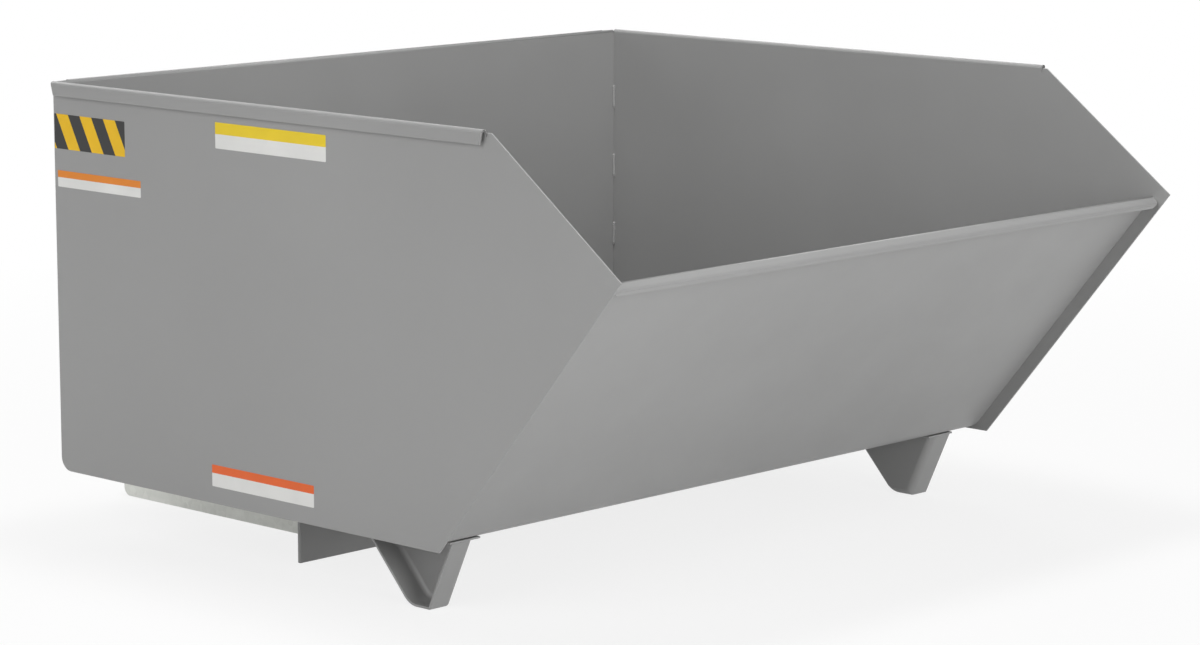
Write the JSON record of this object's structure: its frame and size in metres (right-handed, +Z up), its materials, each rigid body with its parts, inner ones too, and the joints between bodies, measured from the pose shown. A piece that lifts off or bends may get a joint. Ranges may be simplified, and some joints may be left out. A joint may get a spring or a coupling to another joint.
{
  "type": "self-dumping hopper",
  "caption": "Low self-dumping hopper: an open sheet-steel body with a sloping chute that tips forward on a hinged base with fork pockets, held upright by a rear hook latch",
  "frame": {"origin": "on the ground, under the middle of the whole hopper's box", "axes": "+X forward, the way it dumps; +Y to the hopper's left; +Z up"},
  "size_m": [1.431, 1.319, 0.745],
  "materials": {
    "grey_paint": "light grey semi-gloss powder coat",
    "galvanised": "bare galvanised sheet, dull, faint spangle",
    "zinc_hardware": "bright zinc-plated steel",
    "bronze": "plain sintered bronze",
    "rubber": "black rubber",
    "grip_plastic": "black dipped vinyl, matt"
  },
  "bodies": {
    "base": {"fork_channel_left": "galvanised", "fork_channel_right": "galvanised", "front_cross_plate": "grey_paint", "front_strap_left": "galvanised", "front_strap_right": "galvanised", "hinge_ear_inner_left": "grey_paint", "hinge_ear_inner_right": "grey_paint", "hinge_ear_outer_left": "grey_paint", "hinge_ear_outer_right": "grey_paint", "hinge_pin_left": "zinc_hardware", "hinge_pin_right": "zinc_hardware", "latch_cheek_left": "grey_paint", "latch_cheek_right": "grey_paint", "latch_pin": "zinc_hardware", "rear_cross_tube": "grey_paint", "rear_strap_left": "galvanised", "rear_strap_right": "galvanised", "rest_bumper_left": "rubber", "rest_bumper_right": "rubber"},
    "hopper": {"body_wrap": "grey_paint", "hinge_bush_left": "bronze", "hinge_bush_right": "bronze", "hinge_lug_left": "grey_paint", "hinge_lug_right": "grey_paint", "hinge_pad_left": "grey_paint", "hinge_pad_right": "grey_paint", "leg_pad_left": "grey_paint", "leg_pad_right": "grey_paint", "leg_pan_left": "grey_paint", "leg_pan_right": "grey_paint", "side_panel_left": "grey_paint", "side_panel_right": "grey_paint", "striker_bar": "grey_paint", "striker_bracket_left": "grey_paint", "striker_bracket_right": "grey_paint"},
    "latch": {"latch_lever": "grey_paint", "latch_bush": "bronze", "latch_grip": "grip_plastic"}
  },
  "joints": [
    {"name": "dump", "type": "hinge", "parent": "base", "child": "hopper", "pos_m": [-0.0825, 0, 0.07], "axis": [0, 1, 0], "range_deg": [0, 90]},
    {"name": "latch_swing", "type": "hinge", "parent": "base", "child": "latch", "pos_m": [-0.61169, 0, 0.088], "axis": [0, 1, 0], "range_deg": [0, 16]}
  ]
}
